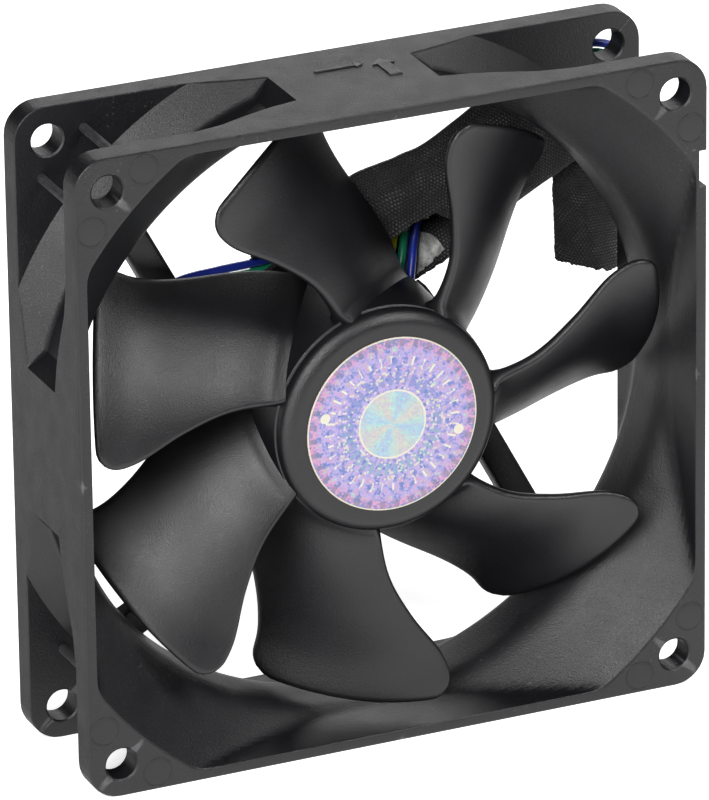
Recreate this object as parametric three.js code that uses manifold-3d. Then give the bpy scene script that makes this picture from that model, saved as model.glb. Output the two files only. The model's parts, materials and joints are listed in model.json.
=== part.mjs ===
// Case fan, 92 x 92 x 25 mm, standing on its lower edge. Millimetres, +Z up.
// The fan's axis runs along Y at half height; the intake side with the hub label faces -Y.
import * as THREE from 'three';
import { mergeVertices } from 'three/addons/utils/BufferGeometryUtils.js';
import Module from 'manifold-3d';

const wasm = await Module();
wasm.setup();

// ---- driving dimensions ----
const SIDE = 92;                 // square frame
const DEPTH = 25;
const HALF = SIDE / 2;
const FRONT = -DEPTH / 2;        // Y of the intake face
const REAR = DEPTH / 2;          // Y of the exhaust face
const FLANGE = 4;                // flange thickness
const CORNER_R = 4.5;            // outline corner radius
const HOLE_PITCH = 82.5;
const HOLE_R = 2.25;
const OPENING_HALF = 44.4;       // flat sides of both openings
const DUCT_R = 43.8;             // throat
const WALL_R = 45.6;             // outside of the throat wall
const PAD_HALF = 10.4;           // half length of the flush pad in the middle of each side
const PAD_SLOPE = 0.9;           // fall of the pad's ends per mm along the side
const INTAKE_R = 53.7;           // corner radius of the intake mouth
const EXHAUST_R = 48.8;          // corner radius of the exhaust mouth
const NOTCH = { low: 27.2, high: 32.5, deep: 1.2 };

const BLADES = 7;
const TIP_R = 42.8;
const HUB_R = 16.3;
const HUB_FRONT = -10.2;
const HUB_REAR = 7.6;
const HUB_BORE = 14.6;
const LABEL_R = 12.5;
const LEAF = 0.05;               // clearance behind a stuck label

const BASE_R = 17.5;
const BASE_RIM = 16;
const BASE_FRONT = 8.9;
const BASE_FLOOR = 11.2;
const BASE_REAR = 12.1;
const STRUT_OFFSET = 13.8;       // distance from the axis to a strut's centreline
const STRUT_ANGLE = 118;         // direction of the first strut, degrees from +X
const STRUT_WIDTH = 4.2;
const STRUT_REACH = 48.5;
const POST_R = 0.65;               // moulded posts joining the two flanges near two corners
const POSTS = [[-36, 42.2], [-42.2, 36], [-41, -32.8]];
const LEAD_ANGLE = 52;           // where the lead leaves the motor base, degrees from +X

const SHAFT_R = 1.5;
const WIRE_D = 1.2;
const WIRE_PITCH = 1.35;
const EXIT_PITCH = 1.8;
const PIN_PITCH = 2.54;

// Leading and trailing edge of a blade at five even steps from hub to tip.
const BLADE_ROOT_R = 15.3;
const LEAD_DEG = [113, 116, 122, 127.5, 128.2];
const LEAD_Y = [-7.4, -8.2, -8.6, -9.2, -10.3];
const TRAIL_DEG = [57, 75.5, 88, 94, 95];
const TRAIL_Y = [7.9, 6.7, 5.7, 5.6, 6.3];

// Duct radius against depth, inside and outside, in the corners of the frame.
const INSIDE = [[FRONT, INTAKE_R], [-8.6, 49.6], [-5, 46], [-2, 44.1], [0.5, DUCT_R],
  [5, DUCT_R], [8.5, 46.1], [REAR, EXHAUST_R]];
const OUTSIDE = [[REAR - FLANGE, 50.5], [4.7, WALL_R], [-1.5, WALL_R], [-3.8, 47.2],
  [FRONT + FLANGE, 52.1]];
// Directions across one eighth of the frame, measured from the middle of a side.
const EIGHTH = [0, 6, 12.74, 15.2, 18.5, 23, 28, 32.5, 37, 42.05, 45];

// Centreline of the four-wire lead: out of the motor base, to a loop behind the upper right corner,
// back to a loop behind the left blades, round once more, and down to the connector.
const LEAD_ROUTE = [
  [9.3, 10.35, 10.5], [9.9, 10.8, 12.6], [10.8, 11.8, 14.8], [11.9, 13.2, 17], [13.2, 14.1, 19.4],
  [15.4, 14.4, 21.6], [18.6, 14.4, 23.4], [22.4, 14.4, 24.9], [26.6, 14.4, 26.2], [31, 14.4, 27.2],
  [35, 14.5, 27.7], [38.6, 14.4, 26.9], [42, 14.5, 26.2], [45.8, 14.7, 27.8], [47.4, 15, 31.6],
  [45.8, 15.3, 35.4], [42, 15.8, 37], [38.7, 16.2, 35.9], [34.2, 16.5, 32.6], [29.4, 16.6, 29],
  [24, 16.6, 26], [17, 16.6, 22.6], [9.5, 16.6, 18.9], [3, 16.6, 15.6], [-3, 16.6, 13.6], [-8, 16.7, 13],
  [-13.5, 16.9, 12.7], [-19.4, 17.2, 11.9], [-23.6, 17.5, 8.8], [-24.2, 17.9, 4.2], [-21, 18.4, 0.6],
  [-15.8, 18.7, 0.6], [-10, 18.8, 4.2], [-4.6, 18.8, 9.2], [2, 18.8, 13.6], [9.5, 18.8, 17.6],
  [17, 18.8, 21.2], [24, 18.8, 24.2], [30.6, 18.8, 26.7], [34, 18.8, 27.3], [37.2, 18.9, 27.2],
  [41, 19.2, 28.8], [42.6, 19.5, 32.6], [41, 19.9, 36.4], [37.2, 20.3, 38], [33.4, 20.7, 36.4],
  [30.6, 20.9, 32.4], [27.8, 21, 27.8], [24, 21, 23.8], [17, 21, 19.8], [9.5, 21, 16.2], [3, 21, 13],
  [-2.6, 21, 10.2], [-6.6, 21, 7], [-8, 21, 2.4], [-8, 20.8, -2.6], [-8, 20.5, -7.7]];
const CONNECTOR = { x: -8, y: 20.5, top: -7.6, wide: 10.2, deep: 5.4, long: 12 };
// Cloth around the folded lead, and around the upper right strut where it runs beside it.
// Distances are along that strut, through the fan and across the strut, from the fan's axis.
const WRAP = { from: -0.5, to: 43.8, mouth: 14.5, strutFrom: 18.5, strutTo: 42, low: 3.5, high: 19.5, back: 22.9,
  front: 12.9, strutFront: 8.2, wall: 0.5, round: 2.6 };
const FLAP = { left: 35.6, right: 48.4, top: 22.3, bottom: 7.2, front: 12.85, thick: 0.7 };

// ---- helpers ----
const rad = THREE.MathUtils.degToRad;
const wires = ['black', 'yellow', 'green', 'blue'];

function clean(geometry) {
  const g = geometry.clone();
  for (const name of Object.keys(g.attributes)) if (name !== 'position') g.deleteAttribute(name);
  g.clearGroups();
  const merged = mergeVertices(g, 1e-4);
  const kept = [];
  const idx = merged.index.array;
  for (let i = 0; i < idx.length; i += 3) {
    const [a, b, c] = [idx[i], idx[i + 1], idx[i + 2]];
    if (a !== b && b !== c && a !== c) kept.push(a, b, c);
  }
  merged.setIndex(kept);
  if (volume(merged) < 0) {
    for (let i = 0; i < kept.length; i += 3) [kept[i], kept[i + 1]] = [kept[i + 1], kept[i]];
    merged.setIndex(kept);
  }
  return merged;
}

function volume(g) {
  const p = g.attributes.position;
  const [a, b, c] = [new THREE.Vector3(), new THREE.Vector3(), new THREE.Vector3()];
  let sum = 0;
  for (let i = 0; i < g.index.count; i += 3) {
    a.fromBufferAttribute(p, g.index.getX(i));
    b.fromBufferAttribute(p, g.index.getX(i + 1));
    c.fromBufferAttribute(p, g.index.getX(i + 2));
    sum += a.dot(b.cross(c));
  }
  return sum / 6;
}

function solid(geometry) {
  const g = clean(geometry);
  const mesh = new wasm.Mesh({
    numProp: 3,
    vertProperties: new Float32Array(g.attributes.position.array),
    triVerts: new Uint32Array(g.index.array),
  });
  return new wasm.Manifold(mesh);
}

function shell(manifold) {
  const mesh = manifold.getMesh();
  const g = new THREE.BufferGeometry();
  g.setAttribute('position', new THREE.BufferAttribute(new Float32Array(mesh.vertProperties), 3));
  g.setIndex([...mesh.triVerts]);
  return g;
}

// A solid of revolution about the fan's axis from a closed outline of [radius, y] corners.
function turned(outline, sides = 32) {
  const points = [...outline, outline[0]].map(([r, y]) => new THREE.Vector2(r, y));
  return clean(new THREE.LatheGeometry(points, sides));
}

function ring(inner, outer, y0, y1, sides = 32) {
  return turned([[inner, y0], [outer, y0], [outer, y1], [inner, y1]], sides);
}

function disc(radius, y0, y1, sides = 32) {
  return clean(new THREE.CylinderGeometry(radius, radius, y1 - y0, sides).translate(0, (y0 + y1) / 2, 0));
}

function box(x0, x1, y0, y1, z0, z1) {
  return new THREE.BoxGeometry(x1 - x0, y1 - y0, z1 - z0)
    .translate((x0 + x1) / 2, (y0 + y1) / 2, (z0 + z1) / 2);
}

// Turns a shape in the XZ plane by an angle about the fan's axis, +X towards +Z.
function spun(geometry, degrees) {
  return geometry.rotateY(-rad(degrees));
}

// Extrudes an outline of the XZ plane from y0 to y1.
function slab(shape, y0, y1, segments = 12) {
  const g = new THREE.ExtrudeGeometry(shape, { depth: y1 - y0, bevelEnabled: false, curveSegments: segments });
  return clean(g.rotateX(Math.PI / 2).translate(0, y1, 0));
}

// Even Catmull-Rom interpolation of a short list, t from 0 to 1.
function smooth(list, t) {
  const s = Math.min(Math.max(t, 0), 1) * (list.length - 1);
  const i = Math.min(Math.floor(s), list.length - 2);
  const f = s - i;
  const at = (k) => list[k] ?? (k < 0 ? 2 * list[0] - list[1] : 2 * list.at(-1) - list.at(-2));
  const [a, b, c, d] = [at(i - 1), at(i), at(i + 1), at(i + 2)];
  return b + 0.5 * f * (c - a + f * (2 * a - 5 * b + 4 * c - d + f * (3 * (b - c) + d - a)));
}

// Closes rows of equal length into one solid: a tube of rows, joined last to first when looped.
function grid(rows, looped) {
  const n = rows[0].length;
  const position = rows.flat(2);
  const index = [];
  const last = looped ? rows.length : rows.length - 1;
  for (let i = 0; i < last; i++) {
    for (let j = 0; j < n; j++) {
      const a = i * n + j;
      const b = i * n + (j + 1) % n;
      const c = ((i + 1) % rows.length) * n + (j + 1) % n;
      const d = ((i + 1) % rows.length) * n + j;
      index.push(a, b, c, a, c, d);
    }
  }
  if (!looped) {
    for (const [row, flip] of [[0, true], [rows.length - 1, false]]) {
      const half = n / 2;
      for (let j = 0; j < half - 1; j++) {
        const [a, b] = [row * n + j, row * n + j + 1];
        const [c, d] = [row * n + n - 2 - j, row * n + n - 1 - j];
        if (flip) index.push(a, c, b, a, d, c);
        else index.push(a, b, c, a, c, d);
      }
    }
  }
  const g = new THREE.BufferGeometry();
  g.setAttribute('position', new THREE.Float32BufferAttribute(position, 3));
  g.setIndex(index);
  return clean(g);
}

// ---- frame ----
function lookUp(table, y) {
  for (let i = 1; i < table.length; i++) {
    const [[y0, r0], [y1, r1]] = [table[i - 1], table[i]];
    if ((y - y0) * (y - y1) <= 0) return r0 + (r1 - r0) * (y - y0) / (y1 - y0);
  }
  return table.at(-1)[1];
}

// Distance from the axis to the frame's outline, in a direction measured from the middle of a side.
function outlineRadius(c, s) {
  const inner = HALF - CORNER_R;
  if (HALF * s / c <= inner) return HALF / c;
  const along = inner * (c + s);
  return along + Math.sqrt(along * along - 2 * inner * inner + CORNER_R * CORNER_R);
}

function bodyRadius(y, c, s) {
  const pad = (HALF + PAD_SLOPE * PAD_HALF) / (c + PAD_SLOPE * s);
  return Math.min(HALF / c, Math.max(lookUp(OUTSIDE, y), pad), outlineRadius(c, s));
}

function frameSection(c, s) {
  const edge = outlineRadius(c, s);
  const inside = INSIDE.map(([y, r]) => [Math.min(r, OPENING_HALF / c), y]);
  const outside = OUTSIDE.map(([y]) => [bodyRadius(y, c, s), y]);
  return [...inside, [edge, REAR], [edge, REAR - FLANGE], ...outside, [edge, FRONT + FLANGE], [edge, FRONT]];
}

function duct() {
  const rows = [];
  for (let side = 0; side < 4; side++) {
    const steps = [...EIGHTH.map((d) => -d).reverse().slice(0, -1), ...EIGHTH.slice(0, -1)];
    for (const step of steps) {
      const a = rad(side * 90 + step);
      const section = frameSection(Math.cos(rad(step)), Math.sin(rad(Math.abs(step))));
      rows.push(section.map(([r, y]) => [r * Math.cos(a), y, r * Math.sin(a)]));
    }
  }
  return solid(grid(rows, true));
}

function motorBase() {
  return solid(turned([[0.01, BASE_REAR], [BASE_R, BASE_REAR], [BASE_R, BASE_FRONT], [BASE_RIM, BASE_FRONT],
    [BASE_RIM, BASE_FLOOR], [5.6, BASE_FLOOR], [5.6, 9.9], [4.4, 9.9], [4.4, BASE_FLOOR + 0.1],
    [0.01, BASE_FLOOR + 0.1]], 48)).add(solid(disc(0.4, BASE_FLOOR + 0.1, BASE_REAR, 12)));
}

function strut(k) {
  const bar = box(10.6, STRUT_REACH, BASE_FRONT + 0.1, REAR, STRUT_OFFSET - STRUT_WIDTH / 2,
    STRUT_OFFSET + STRUT_WIDTH / 2);
  return solid(spun(bar, STRUT_ANGLE + k * 90));
}

function makeFrame() {
  let body = duct().add(motorBase());
  for (let k = 0; k < 4; k++) body = body.add(strut(k));
  const reach = HOLE_PITCH / 2;
  for (const x of [-reach, reach]) {
    for (const z of [-reach, reach]) {
      const drill = new THREE.CylinderGeometry(HOLE_R, HOLE_R, DEPTH + 2, 16).translate(x, 0, z);
      body = body.subtract(solid(drill));
    }
  }
  body = body.subtract(solid(box(HALF - NOTCH.deep, HALF + 1, FRONT - 1, FRONT + FLANGE + 1, NOTCH.low, NOTCH.high)));
  for (const [x, z] of POSTS) {
    const post = new THREE.CylinderGeometry(POST_R, POST_R, DEPTH - 2 * FLANGE + 0.4, 8).translate(x, 0, z);
    body = body.add(solid(post));
  }
  body = body.subtract(solid(spun(box(13.8, 20, 8, REAR + 1, -4.6, 4.6), LEAD_ANGLE)));
  return shell(body);
}

// ---- impeller ----
function bladePoint(r, u) {
  const t = (r - 16) / (43 - 16);
  const angle = rad(smooth(TRAIL_DEG, t) + (smooth(LEAD_DEG, t) - smooth(TRAIL_DEG, t)) * u);
  const camber = 1.6 + 1.1 * Math.min(Math.max(t, 0), 1);
  const y = smooth(TRAIL_Y, t) + (smooth(LEAD_Y, t) - smooth(TRAIL_Y, t)) * u - camber * 4 * u * (1 - u);
  return new THREE.Vector3(r * Math.cos(angle), y, r * Math.sin(angle));
}

function bladeEnd(u) {
  const e = Math.max(0, Math.abs(2 * u - 1) - 0.74) / 0.26;
  return TIP_R - 4 * (1 - Math.sqrt(Math.max(0, 1 - e * e)));
}

function blade(k) {
  const chord = [0, 0.06, 0.22, 0.42, 0.62, 0.82, 0.95, 1];
  const span = [0, 0.25, 0.5, 0.75, 1];
  const rows = span.map((v) => {
    const faces = [-1, 1].map((face) => chord.map((u) => {
      const r = BLADE_ROOT_R + (bladeEnd(u) - BLADE_ROOT_R) * v;
      const p = bladePoint(r, u);
      const across = bladePoint(r, u + 0.01).sub(bladePoint(r, u - 0.01));
      const out = bladePoint(r + 0.3, u).sub(bladePoint(r - 0.3, u));
      const thick = (1.6 - 0.6 * v) * (0.4 + 0.6 * Math.sqrt(Math.max(0, 4 * u * (1 - u))));
      return p.addScaledVector(across.cross(out).normalize(), face * thick / 2).toArray();
    }));
    return [...faces[0], ...faces[1].reverse()];
  });
  return solid(spun(grid(rows, false), -k * 360 / BLADES));
}

function makeImpeller() {
  let body = solid(turned([[0.01, HUB_FRONT], [14.4, HUB_FRONT], [15.5, HUB_FRONT + 0.5], [16.1, HUB_FRONT + 1.5],
    [HUB_R, HUB_FRONT + 3], [HUB_R + 0.7, HUB_REAR], [HUB_BORE + 0.4, HUB_REAR], [HUB_BORE, -8.6], [3.4, -8.6],
    [3.4, -7.2], [SHAFT_R + 0.3, -7.2], [SHAFT_R + 0.3, -9], [0.01, -9]], 42)).add(solid(disc(0.4, HUB_FRONT, -9, 12)));
  for (let k = 0; k < BLADES; k++) body = body.add(blade(k));
  return shell(body);
}

// ---- motor ----
// Outline of a ring with four T-shaped poles whose faces lie on a radius and span an angle.
function poleOutline(face, halfAngle) {
  const [bore, hub, leg, shoe, shoeHalf] = [4.4, 6.2, 1.4, 9.05, 3.3];
  const tip = rad(halfAngle);
  const outer = [-1, -0.5, 0, 0.5, 1].map((t) => [face * Math.cos(t * tip), face * Math.sin(t * tip)]);
  const under = [(face - 0.8) * Math.cos(tip), (face - 0.8) * Math.sin(tip)];
  const root = Math.sqrt(hub * hub - leg * leg);
  const pole = [[root, -leg], [shoe, -leg], [shoe, -shoeHalf], [under[0], -under[1]], ...outer, under,
    [shoe, shoeHalf], [shoe, leg], [root, leg]];
  const points = [];
  for (let k = 0; k < 4; k++) {
    const [c, s] = [Math.round(Math.cos(k * Math.PI / 2)), Math.round(Math.sin(k * Math.PI / 2))];
    points.push(...pole.map(([x, y]) => new THREE.Vector2(x * c - y * s, x * s + y * c)));
  }
  const shape = new THREE.Shape(points);
  const hole = [];
  for (let k = 0; k < 24; k++) hole.push(new THREE.Vector2(bore, 0).rotateAround(new THREE.Vector2(), -k * Math.PI / 12));
  shape.holes.push(new THREE.Path(hole));
  return shape;
}

function makeCoil(k) {
  const outline = new THREE.Shape();
  const [wide, low, high] = [2.9, -4.3, 6.3];
  outline.moveTo(-wide, low).lineTo(wide, low).lineTo(wide, high).lineTo(-wide, high).closePath();
  const hole = new THREE.Path();
  hole.moveTo(-1.7, -3.1).lineTo(-1.7, 5.1).lineTo(1.7, 5.1).lineTo(1.7, -3.1).closePath();
  outline.holes.push(hole);
  const g = new THREE.ExtrudeGeometry(outline, { depth: 2.2, bevelEnabled: false });
  return clean(spun(g.rotateY(Math.PI / 2).translate(6.5, 0, 0), k * 90));
}

// ---- lead ----
function route(points) {
  return new THREE.CatmullRomCurve3(points.map((p) => new THREE.Vector3(...p)), false, 'centripetal');
}

// One wire of the ribbon: the lead's centreline moved sideways in the XZ plane.
class WirePath extends THREE.Curve {
  constructor(centre, i) {
    super();
    this.centre = centre;
    this.i = i;
  }

  getPoint(t) {
    const along = this.centre.getTangentAt(t);
    const side = new THREE.Vector3(-along.z, 0, along.x).normalize();
    const gather = 1 - THREE.MathUtils.smoothstep(t, 0, 0.06);
    const spread = THREE.MathUtils.smoothstep(t, 0.955, 0.985);
    const pitch = WIRE_PITCH + (EXIT_PITCH - WIRE_PITCH) * gather + (PIN_PITCH - WIRE_PITCH) * spread;
    return this.centre.getPointAt(t).addScaledVector(side, (1.5 - this.i) * pitch);
  }

  getPointAt(t) {
    return this.getPoint(t);
  }

  getTangentAt(t) {
    return this.centre.getTangentAt(t);
  }
}

function makeWire(i) {
  const section = new THREE.Shape().absarc(0, 0, WIRE_D / 2, 0, 2 * Math.PI);
  const extrudePath = new WirePath(route(LEAD_ROUTE), i);
  return clean(new THREE.ExtrudeGeometry(section, { steps: 72, curveSegments: 4, extrudePath }));
}

// A rounded bar along the upper right strut, from one distance to another.
function strutBar(from, to, front, inset) {
  const [low, high] = [WRAP.low + inset, WRAP.high - inset];
  const [near, far] = [front + inset, WRAP.back - inset];
  const r = WRAP.round - inset;
  const shape = new THREE.Shape().moveTo(low + r, near).lineTo(high - r, near);
  shape.absarc(high - r, near + r, r, -Math.PI / 2, 0).absarc(high - r, far - r, r, 0, Math.PI / 2);
  shape.absarc(low + r, far - r, r, Math.PI / 2, Math.PI).absarc(low + r, near + r, r, Math.PI, 1.5 * Math.PI);
  const g = new THREE.ExtrudeGeometry(shape, { depth: to - from, bevelEnabled: false, curveSegments: 3 });
  g.applyMatrix4(new THREE.Matrix4().set(0, 0, 1, from, 0, 1, 0, 0, 1, 0, 0, 0, 0, 0, 0, 1));
  return solid(spun(g, STRUT_ANGLE - 90));
}

function makeWrap() {
  const skin = strutBar(WRAP.from, WRAP.to, WRAP.front, 0)
    .add(strutBar(WRAP.strutFrom, WRAP.strutTo, WRAP.strutFront, 0));
  const room = strutBar(WRAP.from - 1, WRAP.to + 1, WRAP.front, WRAP.wall)
    .add(strutBar(WRAP.mouth, WRAP.strutTo + 1, WRAP.strutFront, WRAP.wall));
  return shell(skin.subtract(room));
}

function makeFlap() {
  return clean(box(FLAP.left, FLAP.right, FLAP.front, FLAP.front + FLAP.thick, FLAP.bottom, FLAP.top));
}

function makeConnector() {
  const c = CONNECTOR;
  let body = solid(box(c.x - c.wide / 2, c.x + c.wide / 2, c.y - c.deep / 2, c.y + c.deep / 2, c.top - c.long, c.top));
  for (let i = 0; i < 4; i++) {
    const x = c.x + (i - 1.5) * PIN_PITCH;
    body = body.subtract(solid(box(x - 0.95, x + 0.95, c.y - 1.1, c.y + 1.1, c.top - c.long - 1, c.top + 1)));
  }
  const rib = box(c.x - 3.4, c.x - 2.4, c.y + c.deep / 2 - 0.1, c.y + c.deep / 2 + 0.9, c.top - c.long, c.top - 4);
  const key = box(c.x + 1.6, c.x + 2.6, c.y + c.deep / 2 - 0.1, c.y + c.deep / 2 + 0.9, c.top - c.long, c.top - 4);
  return shell(body.add(solid(rib)).add(solid(key)));
}

function makeTerminal(i) {
  const c = CONNECTOR;
  const x = c.x + (i - 1.5) * PIN_PITCH;
  const barrel = solid(box(x - 0.6, x + 0.6, c.y - 0.7, c.y + 0.7, c.top - 10.5, c.top - 0.4));
  return shell(barrel.subtract(solid(box(x - 0.35, x + 0.35, c.y - 0.4, c.y + 0.4, c.top - 11, c.top - 5))));
}

// ---- assembly ----
const fan = new THREE.Group();
fan.position.z = HALF;

const paints = {
  shell: [0x2b2b2e, 0.6, 0], rotor: [0x222225, 0.42, 0], foil: [0xb9a9d8, 0.25, 0.6], steel: [0x8d9096, 0.35, 0.9],
  ferrite: [0x2f2c2b, 0.7, 0.1], bronze: [0x9a7340, 0.5, 0.8], brass: [0xb08f4a, 0.4, 0.9], nylon: [0xd8d4c8, 0.5, 0],
  copper: [0xb4622d, 0.35, 0.8], board: [0x1f5a36, 0.5, 0], chip: [0x18181a, 0.5, 0], paper: [0xc9c9c4, 0.6, 0],
  cloth: [0x1a1a1b, 0.9, 0], black: [0x1b1b1b, 0.45, 0], yellow: [0xd9cf2f, 0.4, 0], green: [0x1f8a5b, 0.4, 0],
  blue: [0x1f2f9c, 0.4, 0], tin: [0xc4c6c8, 0.3, 0.9],
};

function add(name, geometry, paint) {
  const [color, roughness, metalness] = paints[paint];
  const mesh = new THREE.Mesh(geometry, new THREE.MeshStandardMaterial({ color, roughness, metalness }));
  mesh.name = name;
  fan.add(mesh);
}

add('frame', makeFrame(), 'shell');
add('impeller', makeImpeller(), 'rotor');
add('hub_label', disc(LABEL_R, HUB_FRONT - 0.2, HUB_FRONT - LEAF), 'foil');
add('rotor_yoke', turned([[3.8, -8.2], [14.2, -8.2], [14.2, 6.6], [13.3, 6.6], [13.3, -7.3], [3.8, -7.3]]), 'steel');
add('ring_magnet', ring(11.3, 13, -4.2, 6.2), 'ferrite');
add('shaft', disc(SHAFT_R, -8.9, 9.7, 24), 'steel');
add('spacer_washer', ring(SHAFT_R + 0.2, 2.8, -6.9, -6.6, 24), 'nylon');
add('retaining_clip', ring(SHAFT_R + 0.05, 2.5, 8.9, 9.3, 24), 'steel');
add('bearing_tube', ring(3.3, 4.1, -6.4, 10.8, 32), 'brass');
add('sleeve_bearing', ring(SHAFT_R + 0.1, 3, -5.4, 8.5), 'bronze');
add('oil_seal', ring(1.8, 3, -6.2, -5.7, 24), 'nylon');
add('thrust_pad', disc(1.3, 9.9, 10.1, 24), 'nylon');
add('bearing_cap', disc(3, 10.3, 10.9, 24), 'steel');
add('stator_core', slab(poleOutline(10.6, 36), -2, 4), 'steel');
add('insulator_front', slab(poleOutline(10.3, 32), -2.85, -2.05), 'nylon');
add('insulator_rear', slab(poleOutline(10.3, 32), 4.05, 4.85), 'nylon');
for (let k = 0; k < 4; k++) add(`coil_${k + 1}`, makeCoil(k), 'copper');
for (let k = 0; k < 3; k++) {
  const pin = new THREE.CylinderGeometry(0.35, 0.35, 3.6, 10).translate(5.6, 6.7, 0);
  add(`winding_pin_${k + 1}`, clean(spun(pin, 45 + k * 90)), 'tin');
}
add('circuit_board', ring(6, 14.4, 8.7, 9.7), 'board');
add('hall_sensor', clean(spun(box(10.2, 12.4, 7.6, 8.65, -1.9, 1.9), 45)), 'chip');
add('driver_chip', clean(spun(box(8, 12, 9.75, 10.7, -2.4, 2.4), 215)), 'chip');
add('capacitor', clean(spun(new THREE.CylinderGeometry(1.4, 1.4, 2.2, 16).translate(11.2, 7.5, 0), 135)), 'black');
add('rear_label', disc(15.2, BASE_REAR + LEAF, BASE_REAR + 0.2, 64), 'paper');
wires.forEach((colour, i) => add(`wire_${colour}`, makeWire(i), colour));
add('cable_wrap', makeWrap(), 'cloth');
add('wrap_tail', makeFlap(), 'cloth');
add('connector_housing', makeConnector(), 'black');
for (let i = 0; i < 4; i++) add(`terminal_${i + 1}`, makeTerminal(i), 'tin');

export default fan;
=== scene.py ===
"""Case fan, 92 x 92 x 25 mm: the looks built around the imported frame."""
import json
import math

import bmesh
import bpy
from mathutils import Matrix, Vector, noise


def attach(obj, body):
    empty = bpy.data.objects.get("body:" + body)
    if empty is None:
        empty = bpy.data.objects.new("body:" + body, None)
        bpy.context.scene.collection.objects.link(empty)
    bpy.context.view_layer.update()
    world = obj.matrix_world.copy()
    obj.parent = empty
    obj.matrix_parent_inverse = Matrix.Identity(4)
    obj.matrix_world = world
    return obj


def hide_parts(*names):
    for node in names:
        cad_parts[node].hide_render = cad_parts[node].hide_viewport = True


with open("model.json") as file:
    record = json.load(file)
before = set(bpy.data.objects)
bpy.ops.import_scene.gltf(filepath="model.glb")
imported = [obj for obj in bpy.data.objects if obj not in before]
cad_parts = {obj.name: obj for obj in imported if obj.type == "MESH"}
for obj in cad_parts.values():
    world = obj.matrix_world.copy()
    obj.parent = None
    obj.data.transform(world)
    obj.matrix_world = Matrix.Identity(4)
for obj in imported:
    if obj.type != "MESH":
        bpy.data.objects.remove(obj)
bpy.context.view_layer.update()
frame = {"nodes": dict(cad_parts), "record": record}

# ---- driving dimensions, millimetres from the middle of the fan: X right, Y through the fan, Z up ----
MM = 0.001
HALF = 46.0
FRONT = -12.5
REAR = 12.5
FLANGE = 4.0
CORNER_R = 4.5
HOLE_AT = 41.25
HOLE_R = 2.25
OPENING_HALF = 44.4
WALL_R = 45.6
PAD_HALF = 10.4
PAD_SLOPE = 0.9
INSIDE = [(-12.5, 53.7), (-9.4, 50.5), (-6.2, 47.2), (-3.8, 45.0), (-2.0, 44.1), (0.0, 43.8), (5.0, 43.8),
          (8.5, 46.1), (12.5, 48.8)]
INSIDE_ROWS = [-12.5, -11.7, -10.9, -10.1, -9.3, -8.5, -7.7, -6.9, -6.1, -5.3, -4.5, -3.8, -3.1, -2.4, -1.6,
               -0.6, 1.0, 3.0, 4.4, 5.2, 6.2, 7.3, 8.4, 9.4, 10.4, 11.5, 12.5]
FLARE = [(45.6, -2.0), (46.4, -2.9), (47.2, -3.8), (48.3, -4.7), (49.8, -6.2), (51.4, -7.8), (52.4, -8.2),
         (53.3, -8.5)]
CONE_R = 50.5
CONE_FOOT = 4.7

BLADES = 7
TIP_R = 42.8
LEAD_DEG = [113, 116, 122, 127.5, 128.2]
LEAD_Y = [-7.4, -8.2, -8.6, -9.2, -10.3]
TRAIL_DEG = [57, 75.5, 88, 94, 95]
TRAIL_Y = [7.9, 6.7, 5.7, 5.6, 6.3]
HUB_FRONT = -10.2
LABEL_R = 12.5

STRUT_ANGLE = 118
STRUT_OFFSET = 13.8
STRUT_HALF = 2.1
BASE_R = 17.5
LEAD_ANGLE = 52

WIRE_D = 1.2
WIRE_PITCH = 1.35
EXIT_PITCH = 1.8
PIN_PITCH = 2.54
LEAD_ROUTE = [
    (9.3, 10.35, 10.5), (9.9, 10.8, 12.6), (10.8, 11.8, 14.8), (11.9, 13.2, 17), (13.2, 14.1, 19.4),
    (15.4, 14.4, 21.6), (18.6, 14.4, 23.4), (22.4, 14.4, 24.9), (26.6, 14.4, 26.2), (31, 14.4, 27.2),
    (35, 14.5, 27.7), (38.6, 14.4, 26.9), (42, 14.5, 26.2), (45.8, 14.7, 27.8), (47.4, 15, 31.6),
    (45.8, 15.3, 35.4), (42, 15.8, 37), (38.7, 16.2, 35.9), (34.2, 16.5, 32.6), (29.4, 16.6, 29),
    (24, 16.6, 26), (17, 16.6, 22.6), (9.5, 16.6, 18.9), (3, 16.6, 15.6), (-3, 16.6, 13.6),
    (-8, 16.7, 13), (-13.5, 16.9, 12.7), (-19.4, 17.2, 11.9), (-23.6, 17.5, 8.8), (-24.2, 17.9, 4.2),
    (-21, 18.4, 0.6), (-15.8, 18.7, 0.6), (-10, 18.8, 4.2), (-4.6, 18.8, 9.2), (2, 18.8, 13.6),
    (9.5, 18.8, 17.6), (17, 18.8, 21.2), (24, 18.8, 24.2), (30.6, 18.8, 26.7), (34, 18.8, 27.3),
    (37.2, 18.9, 27.2), (41, 19.2, 28.8), (42.6, 19.5, 32.6), (41, 19.9, 36.4), (37.2, 20.3, 38),
    (33.4, 20.7, 36.4), (30.6, 20.9, 32.4), (27.8, 21, 27.8), (24, 21, 23.8), (17, 21, 19.8),
    (9.5, 21, 16.2), (3, 21, 13), (-2.6, 21, 10.2), (-6.6, 21, 7), (-8, 21, 2.4), (-8, 20.8, -2.6),
    (-8, 20.5, -7.7)]
CONNECTOR = (-8, 20.5, -7.6)
PLUG_WIDE, PLUG_DEEP, PLUG_LONG = 10.2, 5.4, 12
POST_R = 0.65
POSTS = [(-36, 42.2), (-42.2, 36), (-41, -32.8)]


def place(x, y, z):
    return Vector((x, y, z + HALF)) * MM


def turn(x, z, degrees):
    a = math.radians(degrees)
    return x * math.cos(a) - z * math.sin(a), x * math.sin(a) + z * math.cos(a)


def along_strut(s, y, n):
    """A point from its distances along, through and across the upper right strut."""
    x, z = turn(s, n, STRUT_ANGLE - 90)
    return x, y, z


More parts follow.
